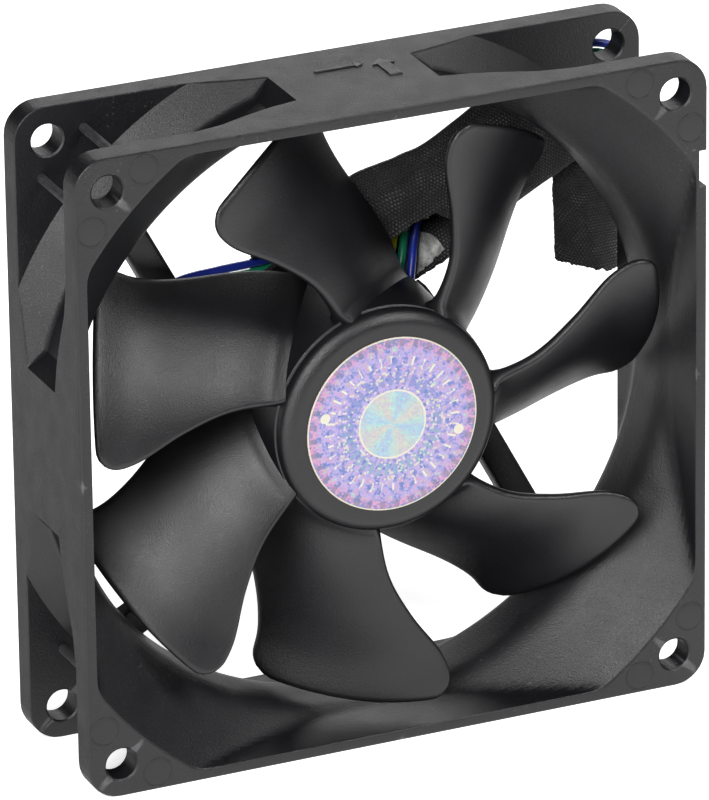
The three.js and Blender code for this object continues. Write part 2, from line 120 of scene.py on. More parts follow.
def even(values, t):
    """Catmull-Rom interpolation of evenly spaced values, t from 0 to 1."""
    s = min(max(t, 0), 1) * (len(values) - 1)
    i = min(int(s), len(values) - 2)
    f = s - i
    b, c = values[i], values[i + 1]
    a = values[i - 1] if i else 2 * b - c
    d = values[i + 2] if i + 2 < len(values) else 2 * c - b
    return b + 0.5 * f * (c - a + f * (2 * a - 5 * b + 4 * c - d + f * (3 * (b - c) + d - a)))


def curve_at(table, x):
    """Smooth cubic through (x, value) pairs in rising order of x."""
    i = max(k for k in range(len(table) - 1) if k == 0 or table[k][0] <= x)

    def slope(k):
        lo, hi = max(k - 1, 0), min(k + 1, len(table) - 1)
        return (table[hi][1] - table[lo][1]) / (table[hi][0] - table[lo][0])

    (x0, y0), (x1, y1) = table[i], table[i + 1]
    h = x1 - x0
    t = (x - x0) / h
    m0, m1 = slope(i) * h, slope(i + 1) * h
    rise = ((2 * t - 3) * t * t + 1) * y0 + ((t - 2) * t + 1) * t * m0
    return rise + (3 - 2 * t) * t * t * y1 + (t - 1) * t * t * m1


def soft_min(a, b, k):
    h = max(k - abs(a - b), 0) / k
    return min(a, b) - h * h * k / 4


def smoothstep(lo, hi, x):
    t = min(max((x - lo) / (hi - lo), 0), 1)
    return t * t * (3 - 2 * t)


# ---- camera ----
CAMERA_AT = (-440.78, -999.26, 458.47)


def make_camera():
    data = bpy.data.cameras.new("camera")
    data.lens = 393.6
    data.sensor_width = 36
    data.clip_start, data.clip_end = 0.05, 30
    camera = add("camera", data)
    forward = Vector((0.37141, 0.84380, -0.38736))
    up = Vector((0.16822, 0.34915, 0.92185))
    turn_to = Matrix((forward.cross(up), up, -forward)).transposed().to_4x4()
    camera.matrix_world = Matrix.Translation(place(*CAMERA_AT)) @ turn_to
    bpy.context.scene.camera = camera


# ---- materials ----
class Graph:
    """A material and short ways to add its nodes."""

    def __init__(self, name):
        self.mat = bpy.data.materials.new(name)
        self.mat.use_nodes = True
        self.tree = self.mat.node_tree
        self.shader = self.tree.nodes["Principled BSDF"]
        self.coords = self.tree.nodes.new("ShaderNodeTexCoord")
        self.at = self.coords.outputs["Object"]

    def plug(self, socket, value):
        if isinstance(value, bpy.types.NodeSocket):
            self.tree.links.new(value, socket)
        else:
            socket.default_value = value

    def node(self, kind, sockets, out=0, **props):
        n = self.tree.nodes.new(kind)
        for key, value in props.items():
            setattr(n, key, value)
        for key, value in sockets.items():
            self.plug(n.inputs[key], value)
        return n.outputs[out]

    def math(self, op, a, b=0.0, c=0.0, clamp=False):
        return self.node("ShaderNodeMath", {0: a, 1: b, 2: c}, operation=op, use_clamp=clamp)

    def noise(self, size_mm, detail=2.0, rough=0.5):
        sockets = {"Vector": self.at, "Scale": 1 / (size_mm * MM), "Detail": detail, "Roughness": rough}
        return self.node("ShaderNodeTexNoise", sockets)

    def split(self, vector):
        """The X, Y and Z of a vector."""
        n = self.tree.nodes.new("ShaderNodeSeparateXYZ")
        self.plug(n.inputs[0], vector)
        return n.outputs

    def from_middle(self):
        """X, Z and radius from the fan's axis, in millimetres."""
        x, _, z = self.split(self.at)
        x = self.math("MULTIPLY", x, 1 / MM)
        z = self.math("MULTIPLY", self.math("SUBTRACT", z, HALF * MM), 1 / MM)
        return x, z, self.length(x, z)

    def length(self, x, z):
        return self.math("SQRT", self.math("ADD", self.math("MULTIPLY", x, x), self.math("MULTIPLY", z, z)))

    def ramp(self, fac, stops):
        """A colour or value by steps of (position, colour or value)."""
        n = self.tree.nodes.new("ShaderNodeValToRGB")
        self.plug(n.inputs[0], fac)
        ramp = n.color_ramp
        while len(ramp.elements) < len(stops):
            ramp.elements.new(0.5)
        for element, (at, colour) in zip(ramp.elements, stops):
            element.position = at
            element.color = (*colour, 1) if isinstance(colour, tuple) else (colour, colour, colour, 1)
        return n.outputs[0]

    def mix(self, fac, a, b):
        return self.node("ShaderNodeMix", {0: fac, 6: a, 7: b}, out=2, data_type="RGBA")

    def bump(self, height, distance_mm, strength=1.0):
        sockets = {"Height": height, "Distance": distance_mm * MM, "Strength": strength}
        return self.node("ShaderNodeBump", sockets)

    def set(self, **values):
        for key, value in values.items():
            self.plug(self.shader.inputs[key.replace("_", " ")], value)


def rgb(colour):
    return (*colour, 1.0)


def plastic(name, colour, rough, grain_mm=0.22, grain=0.012, worn=0.0, scuffed=0.0, level=0.5):
    """Moulded plastic: spark-eroded grain, slow mottling, paler worn edges and small pale scuffs."""
    g = Graph(name)
    slow = g.noise(9, 3)
    tint = g.ramp(slow, [(0.3, tuple(c * 0.86 for c in colour)), (0.7, tuple(c * 1.14 for c in colour))])
    fine = g.noise(grain_mm, 2, 0.6)
    pits = g.noise(grain_mm * 2.3, 1, 0.5)
    if worn:
        edge = g.node("ShaderNodeNewGeometry", {}, out="Pointiness")
        wear = g.ramp(edge, [(0.56, 0.0), (0.64, worn)])
        tint = g.mix(g.math("MULTIPLY", wear, g.noise(1.1, 4)), tint, rgb((0.16, 0.16, 0.165)))
    if scuffed:
        patch = g.ramp(g.noise(14, 2), [(0.48, 0.0), (0.62, 1.0)])
        speck = g.ramp(g.noise(0.42, 3, 0.7), [(0.62, 0.0), (0.74, scuffed)])
        tint = g.mix(g.math("MULTIPLY", patch, speck), tint, rgb((0.15, 0.15, 0.155)))
    shine = g.math("MULTIPLY_ADD", g.noise(3.5, 4), 0.16, rough - 0.08)
    shine = g.math("MULTIPLY_ADD", fine, 0.2, g.math("SUBTRACT", shine, 0.1))
    height = g.math("MULTIPLY_ADD", pits, 0.3, fine)
    facing = g.node("ShaderNodeLayerWeight", {"Blend": 0.5}, out="Facing")
    gloss = g.ramp(facing, [(0.3, level), (0.62, level * 0.16)])
    g.set(Base_Color=tint, Roughness=shine, Normal=g.bump(height, grain, 1.0), Specular_IOR_Level=gloss)
    return g.mat


def metal(name, colour, rough, grain_mm=0.4):
    g = Graph(name)
    fine = g.noise(grain_mm, 3)
    tint = g.ramp(g.noise(4, 3), [(0.3, tuple(c * 0.9 for c in colour)), (0.7, colour)])
    g.set(Base_Color=tint, Metallic=1.0, Roughness=g.math("MULTIPLY_ADD", fine, 0.2, rough - 0.1),
          Normal=g.bump(fine, 0.01, 0.6))
    return g.mat


def insulation(name, colour):
    g = Graph(name)
    tint = g.ramp(g.noise(2.5, 3), [(0.3, tuple(c * 0.82 for c in colour)), (0.75, colour)])
    g.set(Base_Color=tint, Roughness=g.math("MULTIPLY_ADD", g.noise(1.2, 2), 0.15, 0.28),
          Normal=g.bump(g.noise(0.9, 2), 0.02, 0.5), Coat_Weight=0.15)
    return g.mat


def winding(name):
    g = Graph(name)
    lines = g.math("SINE", g.math("MULTIPLY", g.split(g.at)[1], 2 * math.pi / (0.32 * MM)))
    # Painted shade: the copper is dark in the grooves between the turns and bright on their tops, following the
    # bump.
    g.set(Base_Color=g.ramp(lines, [(0.0, (0.22, 0.07, 0.02)), (0.8, (0.62, 0.26, 0.09))]), Metallic=0.8,
          Roughness=0.32, Normal=g.bump(lines, 0.08, 0.8))
    return g.mat


ROW_MM = 0.43
THREAD_MM = 0.5


def cloth(name):
    """Plain weave of a fabric tape on its UV, in millimetres: rows of threads with crossing threads, with painted
    highlights on the thread crests and painted shade in the gaps between threads.
    """
    g = Graph(name)
    u, v, _ = g.split(g.coords.outputs["UV"])
    wander = g.math("MULTIPLY_ADD", g.noise(2.4, 2), 0.5, -0.25)
    along = g.math("ADD", u, wander)
    across = g.math("ADD", v, g.math("MULTIPLY", wander, 0.6))
    row = g.math("DIVIDE", across, ROW_MM)
    rib = g.math("SINE", g.math("MULTIPLY", row, 2 * math.pi))
    shift = g.math("MULTIPLY", g.math("FLOOR", row), math.pi)
    cross = g.math("SINE", g.math("ADD", g.math("MULTIPLY", along, 2 * math.pi / THREAD_MM), shift))
    rib, cross = (g.math("MULTIPLY_ADD", wave, 0.5, 0.5) for wave in (rib, cross))
    knots = g.math("POWER", g.math("MULTIPLY", rib, cross), 0.8)
    height = g.math("MULTIPLY_ADD", g.noise(0.2, 3), 0.3, knots)
    # Painted light: the crests of the threads are painted pale as highlights, more so in slow patches, and the gaps
    # between them near black as shade.
    lit = g.math("MULTIPLY", knots, g.ramp(g.noise(2.6, 3), [(0.36, 0.25), (0.66, 1.0)]))
    gap, thread, crest_highlight = (0.003, 0.003, 0.004), (0.016, 0.016, 0.017), (0.15, 0.15, 0.155)
    tint = g.ramp(lit, [(0.0, gap), (0.5, thread), (1.0, crest_highlight)])
    g.set(Base_Color=tint, Roughness=g.math("MULTIPLY_ADD", knots, -0.25, 0.75), Sheen_Weight=0.12,
          Normal=g.bump(height, 0.14, 1.0))
    return g.mat


def liner(name):
    """The tape's sticky side: pale grey, crumpled and threaded, with painted shade in the hollows of the crumples
    and painted light on their ridges.
    """
    g = Graph(name)
    crumple = g.noise(1.3, 4, 0.6)
    threads = g.noise(0.18, 2)
    # Painted shade and light: the grey follows the crumples' relief, darker in their hollows and paler on their
    # ridges.
    tint = g.ramp(g.math("MULTIPLY_ADD", threads, 0.3, crumple),
                  [(0.4, (0.10, 0.10, 0.10)), (0.62, (0.30, 0.30, 0.29)), (0.85, (0.52, 0.52, 0.5))])
    g.set(Base_Color=tint, Roughness=0.55, Normal=g.bump(crumple, 0.25, 0.9))
    return g.mat


def sticker(name):
    """Plain silver sticker: a band, a frame line and dashes in place of print."""
    g = Graph(name)
    x, z, r = g.from_middle()
    rim = g.math("COMPARE", r, 14.2, 0.18)
    band = g.math("COMPARE", z, 4.5, 2.2)
    row = g.math("COMPARE", g.math("PINGPONG", g.math("ADD", z, 1.0), 1.1), 0.0, 0.28)
    cell = {0: g.math("FLOOR", g.math("DIVIDE", x, 1.3)), 1: g.math("FLOOR", g.math("DIVIDE", z, 2.2))}
    cells = g.node("ShaderNodeTexWhiteNoise", {"Vector": g.node("ShaderNodeCombineXYZ", cell)})
    dash = g.math("MULTIPLY", row, g.math("GREATER_THAN", cells, 0.35))
    dash = g.math("MULTIPLY", dash, g.math("LESS_THAN", z, 1.0))
    dash = g.math("MULTIPLY", dash, g.math("LESS_THAN", r, 11.5))
    ink = g.math("MAXIMUM", g.math("MAXIMUM", rim, band), dash)
    ink = g.math("MULTIPLY", ink, g.math("LESS_THAN", r, 14.5))
    tint = g.mix(ink, rgb((0.5, 0.5, 0.49)), rgb((0.03, 0.035, 0.05)))
    g.set(Base_Color=tint, Roughness=g.math("MULTIPLY_ADD", g.noise(2, 2), 0.2, 0.3), Metallic=0.3,
          Normal=g.bump(g.noise(3, 2), 0.02, 0.5))
    return g.mat


PINK, LILAC, VIOLET = (0.42, 0.19, 0.34), (0.28, 0.25, 0.48), (0.17, 0.17, 0.40)
BLUE, TEAL, CREAM = (0.08, 0.13, 0.36), (0.11, 0.27, 0.34), (0.60, 0.58, 0.42)
SLATE, ROSE, MOSS = (0.12, 0.16, 0.24), (0.56, 0.24, 0.40), (0.24, 0.36, 0.30)
HAZE, SEA, SHADE = (0.36, 0.30, 0.54), (0.30, 0.46, 0.44), (0.10, 0.11, 0.20)


def foil(name):
    """Diffraction foil: rings of small tinted facets, a pale middle whose tints turn round by angle as a painted
    rainbow sheen, and two cream dots.
    """
    g = Graph(name)
    x, z, r = g.from_middle()
    part = g.math("MULTIPLY_ADD", g.math("ARCTAN2", z, x), 0.5 / math.pi, 0.5)

    def facets(size, seed):
        ring = g.math("FLOOR", g.math("DIVIDE", r, size))
        count = g.math("FLOOR", g.math("MULTIPLY", g.math("ADD", ring, 0.5), 2 * math.pi))
        cell = g.math("FLOOR", g.math("MULTIPLY", part, count))
        at = g.node("ShaderNodeCombineXYZ", {0: ring, 1: cell, 2: seed})
        return g.node("ShaderNodeTexWhiteNoise", {"Vector": at})

    def between(lo, hi):
        return g.math("MULTIPLY", g.math("GREATER_THAN", r, lo), g.math("LESS_THAN", r, hi))

    big, small = facets(0.8, 1.0), facets(0.3, 7.0)
    grain = g.math("MULTIPLY_ADD", g.noise(0.22, 3), 0.7, -0.35)
    radial = g.math("SINE", g.math("MULTIPLY", part, 36 * 2 * math.pi))
    tint = foil_rings(g, z, r, big, small, grain, radial, between)
    # Painted rainbow sheen: the pale middle's tints turn round by angle, from cyan through green to tan.
    painted_sheen = g.math("MULTIPLY_ADD", g.math("SINE", g.math("MULTIPLY", part, 8 * math.pi)), 0.25, 0.5)
    pale = g.ramp(g.math("ADD", painted_sheen, g.math("MULTIPLY", grain, 0.8)),
                  [(0.2, (0.24, 0.42, 0.52)), (0.45, (0.32, 0.55, 0.42)), (0.75, (0.46, 0.46, 0.34))])
    middle = g.math("MULTIPLY", g.math("LESS_THAN", r, 4.7), g.math("MULTIPLY_ADD", small, -0.5, 0.9))
    tint = g.mix(middle, tint, pale)
    cream = foil_marks(g, x, z, r, part, big, small, between)
    tint = g.mix(g.math("MULTIPLY", cream, 0.85), tint, rgb(CREAM))
    tint = g.mix(0.24, tint, rgb((0.02, 0.03, 0.03)))
    g.set(Base_Color=tint, Metallic=0.35, Roughness=g.math("MULTIPLY_ADD", small, 0.2, 0.25),
          Normal=g.bump(small, 0.01, 0.4), Coat_Weight=0.4, Coat_Roughness=0.15)
    return g.mat


def foil_rings(g, z, r, big, small, grain, radial, between):
    """The foil's tints: mixed facets, a pink rim with darker blocks, and a ring of cool squares."""
    rings = g.math("SINE", g.math("MULTIPLY", r, 2 * math.pi / 2.9))
    blocks = g.math("MULTIPLY", g.math("MULTIPLY", radial, rings), 0.22)
    value = g.math("ADD", g.math("MULTIPLY", big, 0.35), g.math("MULTIPLY", small, 0.5))
    value = g.math("ADD", value, grain)
    value = g.math("ADD", value, g.math("ADD", blocks, 0.06))
    main = g.ramp(value, [(0.06, BLUE), (0.22, VIOLET), (0.40, LILAC), (0.58, HAZE), (0.76, PINK),
                          (0.92, SEA)])
    rim = g.ramp(value, [(0.1, SLATE), (0.3, VIOLET), (0.5, PINK), (0.7, ROSE), (0.9, MOSS)])
    tint = g.mix(g.math("SMOOTH_MIN", g.math("SUBTRACT", r, 10.6, clamp=True), 1.0, 0.2), main, rim)
    squares = g.math("MULTIPLY", between(5.7, 7.4), g.math("GREATER_THAN", radial, -0.2))
    cool = g.ramp(g.math("ADD", g.math("MULTIPLY", z, 0.06), g.math("MULTIPLY_ADD", small, 0.5, 0.25)),
                  [(0.2, TEAL), (0.6, (0.08, 0.16, 0.36)), (0.9, BLUE)])
    tint = g.mix(g.math("MULTIPLY", squares, 0.62), tint, cool)
    darker = g.math("MULTIPLY", between(11.2, 12.3), g.math("GREATER_THAN", radial, 0.45))
    return g.mix(g.math("MULTIPLY", darker, 0.6), tint, rgb(SHADE))


def foil_marks(g, x, z, r, part, big, small, between):
    """The foil's cream marks: short spokes, specks, two thin circles and two dots."""
    spokes = g.math("COMPARE", g.math("PINGPONG", g.math("MULTIPLY", part, 36.0), 0.5), 0.0, 0.09)
    spokes = g.math("MULTIPLY", between(8.6, 9.9), spokes)
    spokes = g.math("MULTIPLY", spokes, g.math("GREATER_THAN", big, 0.3))
    fine = g.math("MULTIPLY", g.math("GREATER_THAN", small, 0.86), between(5.0, 8.6))
    circles = g.math("MAXIMUM", g.math("COMPARE", r, 4.85, 0.13), g.math("COMPARE", r, 12.38, 0.1))
    cream = g.math("MAXIMUM", g.math("MAXIMUM", spokes, circles), g.math("MULTIPLY", fine, 0.7))
    for side in (-1, 1):
        dot = g.length(g.math("ADD", x, side * 9.8), g.math("SUBTRACT", z, side * 2.5))
        cream = g.math("MAXIMUM", cream, g.math("LESS_THAN", dot, 0.72))
    return cream


def floor_paint():
    g = Graph("studio_floor")
    g.set(Base_Color=g.ramp(g.noise(400, 2), [(0.0, 0.90), (1.0, 0.93)]), Roughness=0.9,
          Specular_IOR_Level=0.1, Emission_Color=rgb((1, 1, 1)), Emission_Strength=0.69)
    return g.mat


PAINT = {
    "shell": plastic("shell_plastic", (0.006, 0.006, 0.007), 0.41, 0.2, 0.06, worn=0.5, scuffed=0.4,
                     level=0.38),
    "shell_smooth": plastic("shell_smooth", (0.006, 0.006, 0.007), 0.40, 0.2, 0.02, level=0.38),
    "rotor_plastic": plastic("rotor_plastic", (0.005, 0.005, 0.006), 0.36, 0.17, 0.045, level=0.40),
    "foil": foil("hologram_foil"),
    "steel": metal("plain_steel", (0.55, 0.56, 0.58), 0.35),
    "ferrite": plastic("bonded_ferrite", (0.05, 0.045, 0.043), 0.7, 0.3, 0.03),
    "nylon": plastic("natural_nylon", (0.72, 0.69, 0.60), 0.45),
    "brass": metal("brass_tube", (0.72, 0.53, 0.26), 0.3),
    "bronze": metal("sintered_bronze", (0.48, 0.32, 0.17), 0.5, 0.2),
    "copper": winding("copper_winding"),
    "board": plastic("solder_mask", (0.015, 0.13, 0.05), 0.35),
    "chip": plastic("moulded_chip", (0.015, 0.015, 0.016), 0.5),
    "paper": sticker("silver_sticker"),
    "cloth": cloth("woven_tape"),
    "liner": liner("sticky_side"),
    "connector_black": plastic("connector_nylon", (0.018, 0.018, 0.019), 0.42),
    "tin": metal("tin_plate", (0.72, 0.73, 0.74), 0.3),
    "wire_black": insulation("insulation_black", (0.012, 0.012, 0.013)),
    "wire_yellow": insulation("insulation_yellow", (0.75, 0.62, 0.03)),
    "wire_green": insulation("insulation_green", (0.01, 0.26, 0.13)),
    "wire_blue": insulation("insulation_blue", (0.012, 0.03, 0.33)),
}
SLOTS = {row["node"]: row["material_slot"] for row in frame["record"]["subparts"]}


# ---- mesh tools ----
WELD = 0.004


def smooth(obj, degrees=32):
    for polygon in obj.data.polygons:
        polygon.use_smooth = True
    obj.data.set_sharp_from_angle(angle=math.radians(degrees))


def add(name, data):
    obj = bpy.data.objects.new(name, data)
    bpy.context.scene.collection.objects.link(obj)
    return obj


def raw(name, verts, faces, weld=0.0001):
    """A bare mesh object from corners in millimetres, which is not yet a piece."""
    mesh = bpy.data.meshes.new(name)
    mesh.from_pydata([place(*v) for v in verts], [], faces)
    bm = bmesh.new()
    bm.from_mesh(mesh)
    bmesh.ops.remove_doubles(bm, verts=bm.verts, dist=weld * MM)
    bmesh.ops.recalc_face_normals(bm, faces=bm.faces)
    bm.to_mesh(mesh)
    bm.free()
    return add(name, mesh)


def piece(name, verts, faces, slot, body="housing", degrees=32, finish=None):
    """A mesh from corners in millimetres, riding on a body, with the finish of a material slot."""
    obj = raw(name, verts, faces, WELD)
    obj.data.materials.append(PAINT[finish or slot])
    smooth(obj, degrees)
    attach(obj, body)
    return obj


def bake(obj, degrees=32):
    """Applies the modifiers."""
    graph = bpy.context.evaluated_depsgraph_get()
    obj.data = bpy.data.meshes.new_from_object(obj.evaluated_get(graph))
    obj.modifiers.clear()
    smooth(obj, degrees)


def even_normals(obj, limit=20):
    """Shades each corner from the faces there that lie nearly in line, each by its area, so that flat faces stay
    flat right up to their rounded edges."""
    mesh = obj.data
    nearly = math.cos(math.radians(limit))
    faces = [(Vector(face.normal), face.area) for face in mesh.polygons]
    around = [[] for _ in mesh.vertices]
    for face in mesh.polygons:
        for v in face.vertices:
            around[v].append(face.index)
    normals = [Vector((0, 0, 1))] * len(mesh.loops)
    for face in mesh.polygons:
        own = faces[face.index][0]
        for loop, v in zip(face.loop_indices, face.vertices):
            total = Vector(own) * 1e-12
            for other in around[v]:
                normal, area = faces[other]
                if normal.dot(own) > nearly:
                    total += normal * area
            normals[loop] = total.normalized()
    mesh.normals_split_custom_set(normals)


def grid_faces(rows, columns, loop_rows=False, loop_columns=True):
    """The quads of a grid of corners, joined end to end where asked."""
    faces = []
    for i in range(rows if loop_rows else rows - 1):
        for j in range(columns if loop_columns else columns - 1):
            a, b = i * columns + j, i * columns + (j + 1) % columns
            k = (i + 1) % rows * columns
            faces.append([a, b, k + (j + 1) % columns, k + j])
    return faces


def rounded(outline, steps=3):
    """Rounds the corners of a closed outline of (x, y, radius). Every corner gives the same number of points."""
    out = []
    for i, (x, y, radius) in enumerate(outline):
        p = Vector((x, y))
        if not radius:
            out.append(p)
            continue
        a = Vector(outline[i - 1][:2]) - p
        b = Vector(outline[(i + 1) % len(outline)][:2]) - p
        cut = min(radius, 0.45 * a.length, 0.45 * b.length)
        a = p + (a.normalized() * cut if a.length else a)
        b = p + (b.normalized() * cut if b.length else b)
        for k in range(steps + 1):
            t = k / steps
            out.append(a * (1 - t) ** 2 + p * 2 * t * (1 - t) + b * t * t)
    return out


def turned(name, outline, slot, body="housing", sides=96, at=(0, 0), finish=None):
    """A solid of revolution about a line along Y, from a closed outline of (radius, y, corner radius)."""
    points = rounded(outline)
    verts = []
    for k in range(sides):
        a = 2 * math.pi * k / sides
        verts += [(at[0] + p.x * math.cos(a), p.y, at[1] + p.x * math.sin(a)) for p in points]
    return piece(name, verts, grid_faces(sides, len(points), loop_rows=True), slot, body, finish=finish)


def box_mesh(low, high, degrees=0.0):
    """A box's corners and faces, turned about the fan's axis."""
    verts = []
    for x in (low[0], high[0]):
        for y in (low[1], high[1]):
            for z in (low[2], high[2]):
                tx, tz = turn(x, z, degrees)
                verts.append((tx, y, tz))
    return verts, [[0, 1, 3, 2], [4, 6, 7, 5], [0, 4, 5, 1], [2, 3, 7, 6], [0, 2, 6, 4], [1, 5, 7, 3]]


def block(name, low, high, slot, bevel=0.3, degrees=0.0):
    """A box with rounded edges, turned about the fan's axis."""
    obj = piece(name, *box_mesh(low, high, degrees), slot)
    bm = bmesh.new()
    bm.from_mesh(obj.data)
    bmesh.ops.bevel(bm, geom=bm.edges[:], offset=bevel * MM, segments=3, affect="EDGES", profile=0.5)
    bm.to_mesh(obj.data)
    bm.free()
    smooth(obj, 40)
    return obj


def cut(obj, cutters):
    """Cuts the cutters out of a piece and removes them."""
    for cutter in cutters:
        mod = obj.modifiers.new("cut", "BOOLEAN")
        mod.operation, mod.solver, mod.object = "DIFFERENCE", "EXACT", cutter
        bake(obj)
        discard(cutter)


def cutter_block(low, high, degrees=0.0):
    return raw("cutter", *box_mesh(low, high, degrees))


def discard(obj):
    mesh = obj.data
    bpy.data.objects.remove(obj)
    bpy.data.meshes.remove(mesh)


# ---- lead ----
def centripetal(points, per_span=24):
    """Dense points of the centripetal Catmull-Rom curve through the route."""
    pts = [Vector(p) for p in points]
    pts = [2 * pts[0] - pts[1], *pts, 2 * pts[-1] - pts[-2]]
    out = []
    for i in range(1, len(pts) - 2):
        p = pts[i - 1:i + 3]
        t = [0.0]
        for a, b in zip(p, p[1:]):
            t.append(t[-1] + math.sqrt((b - a).length))
        for k in range(per_span):
            x = t[1] + (t[2] - t[1]) * k / per_span
            a1, a2, a3 = (p[j] * ((t[j + 1] - x) / (t[j + 1] - t[j])) + p[j + 1] * ((x - t[j]) / (t[j + 1] - t[j]))
                          for j in range(3))
            b1 = a1 * ((t[2] - x) / (t[2] - t[0])) + a2 * ((x - t[0]) / (t[2] - t[0]))
            b2 = a2 * ((t[3] - x) / (t[3] - t[1])) + a3 * ((x - t[1]) / (t[3] - t[1]))
            out.append(b1 * ((t[2] - x) / (t[2] - t[1])) + b2 * ((x - t[1]) / (t[2] - t[1])))
    return out + [pts[-2]]


def wire_points(i):
    """The centreline of one wire of the ribbon: the lead's route moved sideways in the XZ plane."""
    dense = centripetal(LEAD_ROUTE)
    run = [0.0]
    for a, b in zip(dense, dense[1:]):
        run.append(run[-1] + (b - a).length)
    out = []
    for k, p in enumerate(dense):
        along = dense[min(k + 1, len(dense) - 1)] - dense[max(k - 1, 0)]
        side = Vector((-along.z, 0, along.x)).normalized()
        gather = 1 - smoothstep(0, 0.06, run[k] / run[-1])
        spread = smoothstep(0.955, 0.985, run[k] / run[-1])
        pitch = WIRE_PITCH + (EXIT_PITCH - WIRE_PITCH) * gather + (PIN_PITCH - WIRE_PITCH) * spread
        out.append(p + side * ((1.5 - i) * pitch))
    return out


def make_wire(i, colour):
    """One wire of the lead, a cord that ends in the connector."""
    points = wire_points(i)[::3]
    name = f"lead_{colour}"
    curve = bpy.data.curves.new(name, "CURVE")
    curve.dimensions = "3D"
    curve.bevel_depth = WIRE_D / 2 * MM
    curve.bevel_resolution = 3
    curve.use_fill_caps = True
    spline = curve.splines.new("POLY")
    spline.points.add(len(points) - 1)
    for point, p in zip(spline.points, points):
        point.co = (*place(*p), 1)
    spline.use_smooth = True
    obj = add(name, curve)
    slot = f"wire_{colour}"
    curve.materials.append(PAINT[slot])
    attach(obj, "housing")
    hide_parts(slot)
    return obj


# ---- frame ----
def outline_radius(c, s):
    """The frame's outer edge in the direction of cosine c and sine s."""
    inner = HALF - CORNER_R
    if HALF * s / c <= inner:
        return HALF / c
    along = inner * (c + s)
    return along + math.sqrt(along * along - 2 * inner * inner + CORNER_R * CORNER_R)


def flare_depth(r):
    """Where the flare lies through the fan, at a radius."""
    for (r0, y0), (r1, y1) in zip(FLARE, FLARE[1:]):
        if r <= r1:
            return y0 + (y1 - y0) * max(r - r0, 0) / (r1 - r0)
    return FLARE[-1][1]


def frame_section(c, s):
    """The frame's closed section in one direction, as (radius, y, corner radius)."""
    edge = outline_radius(c, s)
    flush = min(HALF / c, edge)
    points = []
    for y in INSIDE_ROWS:
        r = soft_min(curve_at(INSIDE, y), OPENING_HALF / c, 1.0)
        points.append((r, y, 0.3 if abs(y) > 12 else 0))
    points += [(edge, REAR, 0.45), (edge, REAR - FLANGE, 0.3)]
    pad = (HALF + PAD_SLOPE * PAD_HALF) / (c + PAD_SLOPE * s)
    floor = min(flush, max(WALL_R, pad))
    rise = (REAR - FLANGE - CONE_FOOT) / (CONE_R - WALL_R)
    top = min(CONE_R, flush)
    points += [(top, REAR - FLANGE, 0.5), (top, CONE_FOOT + (top - WALL_R) * rise, 0.3),
               (floor, CONE_FOOT + (floor - WALL_R) * rise, 0.7), (floor, flare_depth(floor), 0.7)]
    for r, _ in FLARE[1:]:
        r = min(max(r, floor), flush)
        points.append((r, flare_depth(r), 0))
    last = min(FLARE[-1][0], flush)
    points += [(last, FRONT + FLANGE, 0.4), (edge, FRONT + FLANGE, 0.3), (edge, FRONT, 0.45)]
    return points


# Directions, in degrees from the middle of a side, where the frame's section changes kind.
SECTION_BREAKS = [12.6, 12.74, 12.9, 15.5, 24.37, 30.34, 41.6, 42.05, 43.0, 44.0]
NOTCH_LOW, NOTCH_HIGH, NOTCH_DEEP = 27.2, 32.5, 1.2


def make_frame_shell():
    """Flanges, throat wall and pads in one skin, swept round the axis, with the holes and the notch cut out."""
    eighth = sorted([0.75 * k for k in range(61)] + SECTION_BREAKS)
    steps = [-d for d in reversed(eighth[1:])] + eighth[:-1]
    verts, count = [], 0
    for side in range(4):
        for step in steps:
            a = math.radians(side * 90 + step)
            t = math.radians(abs(step))
            section = rounded(frame_section(math.cos(t), math.sin(t)))
            count = len(section)
            verts += [(p.x * math.cos(a), p.y, p.x * math.sin(a)) for p in section]
    shell = piece("frame_shell", verts, grid_faces(len(verts) // count, count, loop_rows=True), "shell")
    cutters = [drill(x, z) for x in (-HOLE_AT, HOLE_AT) for z in (-HOLE_AT, HOLE_AT)]
    cutters.append(cutter_block((HALF - NOTCH_DEEP, FRONT - 1, NOTCH_LOW),
                                (HALF + 1, FRONT + FLANGE + 1, NOTCH_HIGH)))
    cut(shell, cutters)
    even_normals(shell)
    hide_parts("frame")


def drill(x, z, sides=40):
    """A cutter for one corner's holes, with a small chamfer at each face of both flanges."""
    wide = HOLE_R + 0.25
    profile = [(0, FRONT - 1), (wide, FRONT - 1), (wide, FRONT), (HOLE_R, FRONT + 0.25),
               (HOLE_R, FRONT + FLANGE - 0.2), (wide, FRONT + FLANGE), (wide, REAR - FLANGE),
               (HOLE_R, REAR - FLANGE + 0.2), (HOLE_R, REAR - 0.25), (wide, REAR), (wide, REAR + 1), (0, REAR + 1)]
    verts = []
    for k in range(sides):
        a = 2 * math.pi * k / sides
        verts += [(x + r * math.cos(a), y, z + r * math.sin(a)) for r, y in profile]
    return raw("cutter", verts, grid_faces(sides, len(profile), loop_rows=True, loop_columns=False))


def make_frame_parts():
    make_motor_base()
    for k in range(4):
        block(f"strut_{k + 1}", (10.6, 9.0, STRUT_OFFSET - STRUT_HALF), (48.5, 12.45, STRUT_OFFSET + STRUT_HALF),
              "shell", bevel=0.6, degrees=STRUT_ANGLE + 90 * k)
    post = [(0, -8.7, 0), (POST_R, -8.7, 0), (POST_R, 8.7, 0), (0, 8.7, 0)]
    for n, at in enumerate(POSTS):
        turned(f"post_{n + 1}", post, "shell", sides=20, at=at)
    disc = [(0, FRONT - 0.02, 0), (1.82, FRONT - 0.02, 0.05), (1.9, FRONT + 0.04, 0.03), (1.96, FRONT - 0.07, 0.05),
            (2.14, FRONT - 0.07, 0.05), (2.2, FRONT + 0.1, 0), (0, FRONT + 0.1, 0)]
    marks = [(x, z) for a, b in ((43.6, 36.0), (36.0, 43.5)) for x in (-a, a) for z in (-b, b)]
    for n, at in enumerate(marks):
        turned(f"ejector_mark_{n + 1}", disc, "shell", sides=48, at=at, finish="shell_smooth")
    make_arrows()
    make_knit_lines()


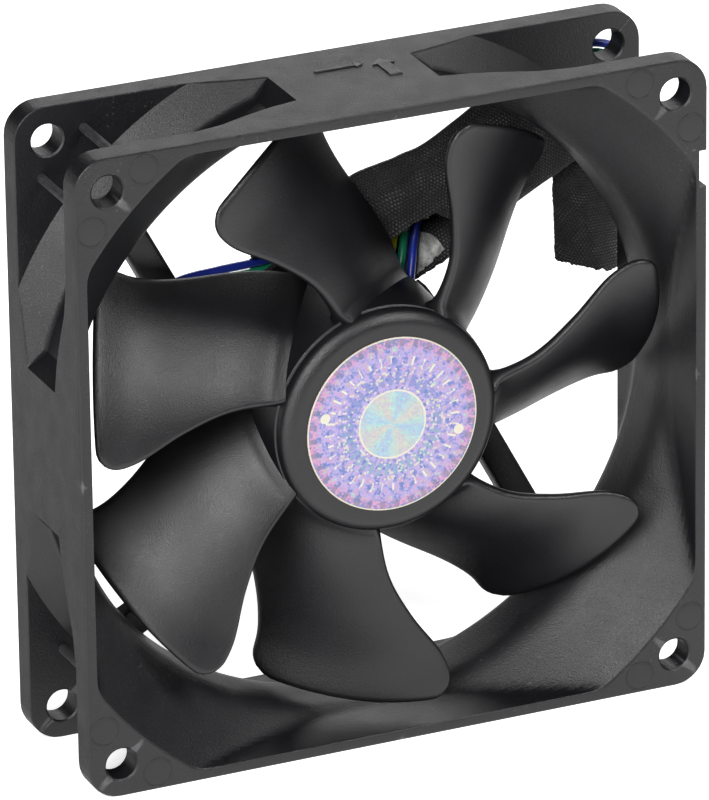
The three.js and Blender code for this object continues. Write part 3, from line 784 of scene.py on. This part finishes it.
def make_motor_base():
    """The disc behind the motor, with a rim, a bearing seat and a gap in the rim for the lead."""
    outline = [(0, 12.1, 0), (BASE_R, 12.1, 0.5), (BASE_R, 8.9, 0.4), (16, 8.9, 0.3), (16, 11.2, 0.3),
               (5.6, 11.2, 0.2), (5.6, 9.9, 0.2), (4.4, 9.9, 0.2), (4.4, 11.3, 0.1), (0, 11.3, 0)]
    base = turned("motor_base", outline, "shell")
    cut(base, [cutter_block((13.8, 8, -4.6), (20, 13.5, 4.6), LEAD_ANGLE)])


def raised(name, outline):
    """A low shape moulded on the upper pad, from its outline in X and Y. Its sides slope."""
    middle = sum((Vector(p) for p in outline), Vector((0, 0))) / len(outline)
    verts = []
    for z, grow in ((-0.15, 1.04), (0.17, 1)):
        verts += [(*(middle + (Vector(p) - middle) * grow), HALF + z) for p in outline]
    n = len(outline)
    faces = [list(range(n))[::-1], [n + k for k in range(n)]]
    faces += [[k, (k + 1) % n, n + (k + 1) % n, n + k] for k in range(n)]
    piece(name, verts, faces, "shell", degrees=20)


def make_arrows():
    """The airflow arrow and the rotation arrow moulded on the upper pad."""
    raised("airflow_arrow", [(4.7, -0.5), (6.5, -0.5), (6.5, 3.7), (7.2, 3.7), (5.6, 5.6), (4.0, 3.7), (4.7, 3.7)])
    raised("rotation_arrow",
           [(-4.0, 4.55), (1.8, 4.55), (1.8, 4.1), (3.0, 4.8), (1.8, 5.5), (1.8, 5.05), (-4.0, 5.05)])


def make_knit_lines():
    """Fine moulding lines on the diagonal through three holes of the rear flange."""
    verts, faces = [], []
    face = REAR - FLANGE
    for angle, start, end, wide in ((45, 60.75, 63.0, 0.1), (45, 52.6, 55.9, 0.06), (225, 60.75, 62.6, 0.05)):
        first = len(verts)
        for along, half, proud in ((start, 0.02, 0.09), (start, wide, 0), (end, wide, 0), (end, 0.02, 0.09)):
            for side in (-1, 1):
                x, z = turn(along, side * half, angle)
                verts.append((x, face + 0.03 - proud, z))
        for f in ([0, 6, 7, 1], [2, 3, 5, 4], [0, 2, 4, 6], [1, 7, 5, 3], [0, 1, 3, 2], [6, 4, 5, 7]):
            faces.append([first + k for k in f])
    piece("knit_lines", verts, faces, "shell", finish="shell_smooth", degrees=10)


# ---- rotor ----
BLADE_ROOT = 15.3
CHORD_EDGE = [0, 0.004, 0.012, 0.024, 0.04]
CHORD = CHORD_EDGE + [0.04 + 0.92 * j / 26 for j in range(1, 26)] + [1 - e for e in reversed(CHORD_EDGE)]
SPAN = [j / 30 for j in range(30)] + [0.975, 0.988, 0.996, 1.0]


def blade_point(r, u):
    """A point of the blade's middle surface, from its radius and its share of the way to the leading edge."""
    t = (r - 16) / 27
    angle = math.radians(even(TRAIL_DEG, t) + (even(LEAD_DEG, t) - even(TRAIL_DEG, t)) * u)
    lift = (1.6 + 1.1 * min(max(t, 0), 1)) * 4 * u * (1 - u)
    return Vector((r * math.cos(angle), even(TRAIL_Y, t) + (even(LEAD_Y, t) - even(TRAIL_Y, t)) * u - lift,
                   r * math.sin(angle)))


def blade_end(u):
    """The blade's tip radius, rounded off towards both edges."""
    e = max(0.0, abs(2 * u - 1) - 0.74) / 0.26
    return TIP_R - 4 * (1 - math.sqrt(max(0.0, 1 - e * e)))


def blade_thickness(r, u, v):
    """Thicker in a fillet at the root, thinning outwards, and rounded at the edges and the tip."""
    thick = 1.7 - 0.65 * v + 2.2 * math.exp(-max(r - 16.2, 0) / 0.8)
    near = min(u, 1 - u) / 0.03
    thick *= math.sqrt(1 - (1 - near) ** 2) if near < 1 else 1
    top = (v - 0.965) / 0.035
    return thick * (math.sqrt(max(0.0, 1 - top * top)) if top > 0 else 1)


def make_blade(k):
    verts = []
    for v in SPAN:
        loop = []
        for face in (-1, 1):
            side = []
            for u in CHORD:
                r = BLADE_ROOT + (blade_end(u) - BLADE_ROOT) * v
                across = blade_point(r, min(u + 0.01, 1)) - blade_point(r, max(u - 0.01, 0))
                out = blade_point(r + 0.3, u) - blade_point(r - 0.3, u)
                offset = across.cross(out).normalized() * (face * blade_thickness(r, u, v) / 2)
                side.append(blade_point(r, u) + offset)
            loop += side if face < 0 else side[::-1]
        for p in loop:
            x, z = turn(p.x, p.z, -k * 360 / BLADES)
            verts.append((x, p.y, z))
    n = 2 * len(CHORD)
    faces = grid_faces(len(SPAN), n)
    faces.append(list(range(n)))
    return piece(f"blade_{k + 1}", verts, faces, "rotor_plastic", "rotor", degrees=50)


def make_rotor():
    cup = [(0, HUB_FRONT, 0), (12.8, HUB_FRONT, 0), (14.6, HUB_FRONT, 0.7), (15.85, -9.2, 0.7), (16.0, -8.0, 0.1),
           (15.78, -7.85, 0.05), (15.78, -7.7, 0.05), (16.12, -7.55, 0.1), (16.95, 7.6, 0.4), (15.0, 7.6, 0.3),
           (14.6, -8.6, 0.3), (3.4, -8.6, 0.2), (3.4, -7.2, 0.2), (1.8, -7.2, 0.1), (1.8, -9, 0.1), (0, -9, 0)]
    hub = turned("hub_cup", cup, "rotor_plastic", "rotor", sides=128)
    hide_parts("impeller")
    for k in range(BLADES):
        make_blade(k)
    disc = [(0, -10.42, 0), (LABEL_R - 0.05, -10.4, 0.05), (LABEL_R, -10.24, 0.02), (0, -10.24, 0)]
    label = turned("foil_label", disc, "foil", "rotor", sides=128)
    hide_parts("hub_label")


# ---- cloth ----
# Section of the tape round the strut and the folded lead: (across the strut, through the fan), from its lower
# front edge along the front, over the upper fold, down the back and up the lower side.
WRAP_SECTION = [(5.6, 9.0), (9.5, 8.6), (13.5, 8.5), (17.5, 8.7), (20.2, 8.5), (20.9, 9.0), (19.2, 11.6), (15.9, 17),
                (13.0, 21.4), (11.7, 22.5), (6.4, 22.3), (4.5, 20.4), (3.7, 16), (3.8, 12.5), (4.5, 10.0)]
WRAP_FROM = -0.5
WRAP_TO = 45.8
WRAP_AROUND = 53.8
UPPER_FLARE = [(-1, 2.2), (13, 2.6), (17, 2.6), (23, 0.9), (27, 0), (31, 0.1), (36, 0.4), (46, 0.6)]
WRAP_COLUMNS = 150
WRAP_ROWS = 170


def section_table(points, count):
    """Evenly spaced points once round a closed section. The last repeats the first."""
    wrapped = [(x, y, 0) for x, y in points]
    around = centripetal([wrapped[-1], *wrapped, wrapped[0], wrapped[1]], 12)[12:-12]
    run = [0.0]
    for a, b in zip(around, around[1:]):
        run.append(run[-1] + (b - a).length)
    out, k = [], 0
    for i in range(count + 1):
        want = run[-1] * i / count
        while k < len(run) - 2 and run[k + 1] < want:
            k += 1
        out.append(around[k].lerp(around[k + 1], (want - run[k]) / (run[k + 1] - run[k])))
    return out


def ragged(along, seed, size=0.22):
    """The height of a frayed edge at a distance along it."""
    coarse = noise.noise(Vector((along * 0.9, seed, 0.5)))
    fine = noise.noise(Vector((along * 3.7, seed, 7.5)))
    return size * (coarse + 0.8 * fine)


def wrap_window(s):
    """Where the tape starts and ends round its section, at a distance along the strut."""
    cut_edge = 0.118 + 0.004 * ragged(s, 2.0, 2.0)
    start = cut_edge * (1 - smoothstep(22.8, 27, s))
    start += (0.4 - start) * (1 - smoothstep(13.0, 14.8, s))
    stop = 1 - (0.095 + 0.005 * ragged(s, 4.0, 1.5)) * (1 - smoothstep(23.5, 27.5, s))
    return start, stop


def wrap_point(table, s, v):
    """Across and through distances of the tape, at a distance along the strut and a share of the way round."""
    at = v * (len(table) - 1)
    k = min(int(at), len(table) - 2)
    p = table[k].lerp(table[k + 1], at - k)
    n, y = p.x, p.y
    n += curve_at(UPPER_FLARE, s) * smoothstep(9, 19, n)
    lower = smoothstep(0.78, 0.9, v) * (1 - smoothstep(22, 28, s)) * smoothstep(8, 15, s)
    n -= 1.9 * lower
    front = smoothstep(12, 9, y)
    pleat = noise.noise(Vector((n * 0.55, s * 0.045, 3.0)))
    crease = noise.noise(Vector((n * 0.9 - s * 0.25, s * 0.16, 8.0)))
    y += front * (0.30 * pleat + 0.16 * crease + 0.08)
    y += front * 0.9 * math.exp(-((n - 18.2) / 1.1) ** 2) * smoothstep(44, 38, s)
    n += (1 - front) * 0.35 * noise.noise(Vector((s * 0.2, y * 0.3, 5.0)))
    return n, y


def sheet_of(name, rows, columns, point, node, thick, finish="cloth"):
    """A cloth piece from a function that gives each row and column its corner and its place in the weave."""
    verts, uvs = [], []
    for i in range(rows + 1):
        for j in range(columns + 1):
            corner, uv = point(i, j)
            verts.append(corner)
            uvs.append(uv)
    faces = grid_faces(rows + 1, columns + 1, loop_columns=False)
    return cloth_piece(name, verts, faces, uvs, node, thick, finish)


def make_wrap():
    """The tape's outer turn, round the strut and the folded lead, open at the mouth where the lead goes in."""
    table = section_table(WRAP_SECTION, 220)

    def point(i, j):
        s = WRAP_FROM + (WRAP_TO - WRAP_FROM) * i / WRAP_ROWS
        start, stop = wrap_window(s)
        v = start + (stop - start) * j / WRAP_COLUMNS
        n, y = wrap_point(table, s, v)
        frayed = s if i else s + ragged(n, 11.0)
        return along_strut(frayed, y, n), (s, v * WRAP_AROUND)

    return sheet_of("tape_wrap", WRAP_ROWS, WRAP_COLUMNS, point, "cable_wrap", 0.22)


def mouth_dip(s, n):
    """How far the inner layers lie back where the lead passes in front of them."""
    return smoothstep(9, 14, s) * smoothstep(2.5, 7.5, n)


def make_inner_layer():
    """The tape's inner layer, between the lead as it comes in and the turns behind it."""
    rows, columns = 90, 40

    def point(i, j):
        s = WRAP_FROM + 30.5 * i / rows
        low = 3.9 - 1.8 * (1 - smoothstep(22, 28, s)) * smoothstep(8, 15, s) + ragged(s, 4.0, 0.3)
        high = 17.2 - 1.6 * smoothstep(10, 16, s)
        n = low + (high - low) * j / columns
        y = 13.3 + 2.2 * mouth_dip(s, n) + 0.15 * noise.noise(Vector((s * 0.4, n * 0.4, 2.0)))
        return along_strut(s, y, n), (s, n)

    return sheet_of("tape_inner", rows, columns, point, None, 0.22)


def make_liner():
    """A patch of the tape's pale sticky side, turned outwards at the mouth of the wrap."""
    rows, columns = 50, 36

    def point(i, j):
        s = 16.4 + 6.4 * i / rows
        low = 2.0 + 0.1 * (s - 16.4) + ragged(s, 4.0, 0.3) + 0.55
        high = low + 4.6 * math.sqrt(max(0.0, math.sin(math.pi * (0.04 + 0.92 * i / rows))))
        n = low + (high - low) * j / columns
        y = 12.95 + 2.0 * mouth_dip(s, n) + 0.2 * noise.noise(Vector((s * 0.9, n * 0.9, 6.0)))
        return along_strut(s, y, n), (s, n)

    return sheet_of("tape_liner", rows, columns, point, None, 0.1, "liner")


def make_tail():
    """The loose end of the tape, hanging behind the upper right of the frame."""
    rows, columns = 96, 70

    def point(i, j):
        t, w = i / rows, j / columns
        top = 24.6 - 2.0 * w - 5 * w * w
        foot = 9.0 - 6.6 * w + 3.4 * w * w
        x = 35.0 + 13.3 * w + 0.45 * t
        z = top + (foot - top) * t
        if i == rows:
            z += ragged(x, 21.0, 0.4)
        if j == 0:
            x += ragged(z, 31.0, 0.12)
        tuck = smoothstep(21.5, 24, z)
        swell = math.exp(-((w - 0.22 - 0.25 * t) / 0.16) ** 2)
        y = 13.5 - 0.75 * swell + 1.2 * tuck + 0.5 * w + 0.12 * noise.noise(Vector((x * 0.5, z * 0.5, 1)))
        return (x, y, z), (x, z - 3.2 * math.exp(-(x - 35) / 2.5))

    return sheet_of("tape_tail", rows, columns, point, "wrap_tail", 0.25)


def cloth_piece(name, verts, faces, uvs, node, thick, finish="cloth"):
    """A thin sheet from corners in millimetres, with its weave laid out in millimetres."""
    mesh = bpy.data.meshes.new(name)
    mesh.from_pydata([place(*v) for v in verts], [], faces)
    layer = mesh.uv_layers.new(name="weave")
    for loop in mesh.loops:
        layer.data[loop.index].uv = uvs[loop.vertex_index]
    mesh.materials.append(PAINT[finish])
    bm = bmesh.new()
    bm.from_mesh(mesh)
    bmesh.ops.remove_doubles(bm, verts=bm.verts, dist=WELD * MM)
    bm.to_mesh(mesh)
    bm.free()
    obj = add(name, mesh)
    mod = obj.modifiers.new("thickness", "SOLIDIFY")
    mod.thickness, mod.offset = thick * MM, 0
    bake(obj, 60)
    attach(obj, "housing")
    if node:
        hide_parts(node)
    return obj


# ---- connector ----
def make_connector():
    x, y, top = CONNECTOR
    low, high = (x - PLUG_WIDE / 2, y - PLUG_DEEP / 2, top - PLUG_LONG), (x + PLUG_WIDE / 2, y + PLUG_DEEP / 2, top)
    body = block("connector_body", low, high, "connector_black", bevel=0.35)
    cutters = []
    for i in range(4):
        px = x + (i - 1.5) * PIN_PITCH
        cutters.append(cutter_block((px - 0.95, y - 1.1, top - 13), (px + 0.95, y + 1.1, top + 1)))
        cutters.append(cutter_block((px - 0.5, y - 3.5, top - 7.5), (px + 0.5, y - 2.2, top - 4.5)))
    cut(body, cutters)
    for k, at in enumerate((-3.4, 1.6)):
        block(f"connector_key_{k + 1}", (x + at, y + 2.5, top - PLUG_LONG), (x + at + 1, y + 3.6, top - 4),
              "connector_black", bevel=0.2)
    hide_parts("connector_housing")
    return body


# ---- finish of the CAD nodes that stay ----
def paint_nodes():
    for name, obj in frame["nodes"].items():
        mat = PAINT[SLOTS[name]]
        if not obj.data.materials:
            obj.data.materials.append(mat)
        for k in range(len(obj.material_slots)):
            obj.material_slots[k].material = mat


# ---- stage, in metres ----
FLOOR_HALF = 4


def area_light(name, energy, size, at):
    """A square soft light, aimed at the middle of the fan."""
    data = bpy.data.lights.new(name, "AREA")
    data.energy, data.size = energy, size
    obj = add(name, data)
    obj.location = at
    obj.rotation_euler = (place(0, 0, 0) - Vector(at)).to_track_quat("-Z", "Y").to_euler()


def make_stage():
    mesh = bpy.data.meshes.new("floor")
    corners = [(-FLOOR_HALF, -FLOOR_HALF, 0), (FLOOR_HALF, -FLOOR_HALF, 0), (FLOOR_HALF, FLOOR_HALF, 0),
               (-FLOOR_HALF, FLOOR_HALF, 0)]
    mesh.from_pydata(corners, [], [[0, 1, 2, 3]])
    floor = add("floor", mesh)
    mesh.materials.append(floor_paint())
    world = bpy.data.worlds.new("studio")
    bpy.context.scene.world = world
    world.use_nodes = True
    colour, strength = world.node_tree.nodes["Background"].inputs[:2]
    colour.default_value = rgb((1, 1, 1))
    strength.default_value = 0.03
    area_light("soft_left", 10.5, 0.45, (-0.55, -0.62, 0.62))
    area_light("soft_right", 8.8, 0.4, (0.45, -0.65, 0.80))
    area_light("left", 4.2, 0.4, (-0.90, -0.65, 0.10))
    area_light("back", 4.2, 0.6, (0.40, 0.90, 0.42))
    area_light("back_right", 2.5, 0.7, (0.95, 0.30, 0.60))
    bpy.context.scene.view_settings.view_transform = "Standard"


def main():
    make_camera()
    terminals = {"black": "terminal_4", "yellow": "terminal_3", "green": "terminal_2", "blue": "terminal_1"}
    connector = make_connector()
    wrap = make_wrap()
    inner = make_inner_layer()
    liner = make_liner()
    tail = make_tail()
    for i, (colour, terminal) in enumerate(terminals.items()):
        make_wire(i, colour)
    paint_nodes()
    make_frame_shell()
    make_frame_parts()
    make_rotor()
    make_stage()


main()
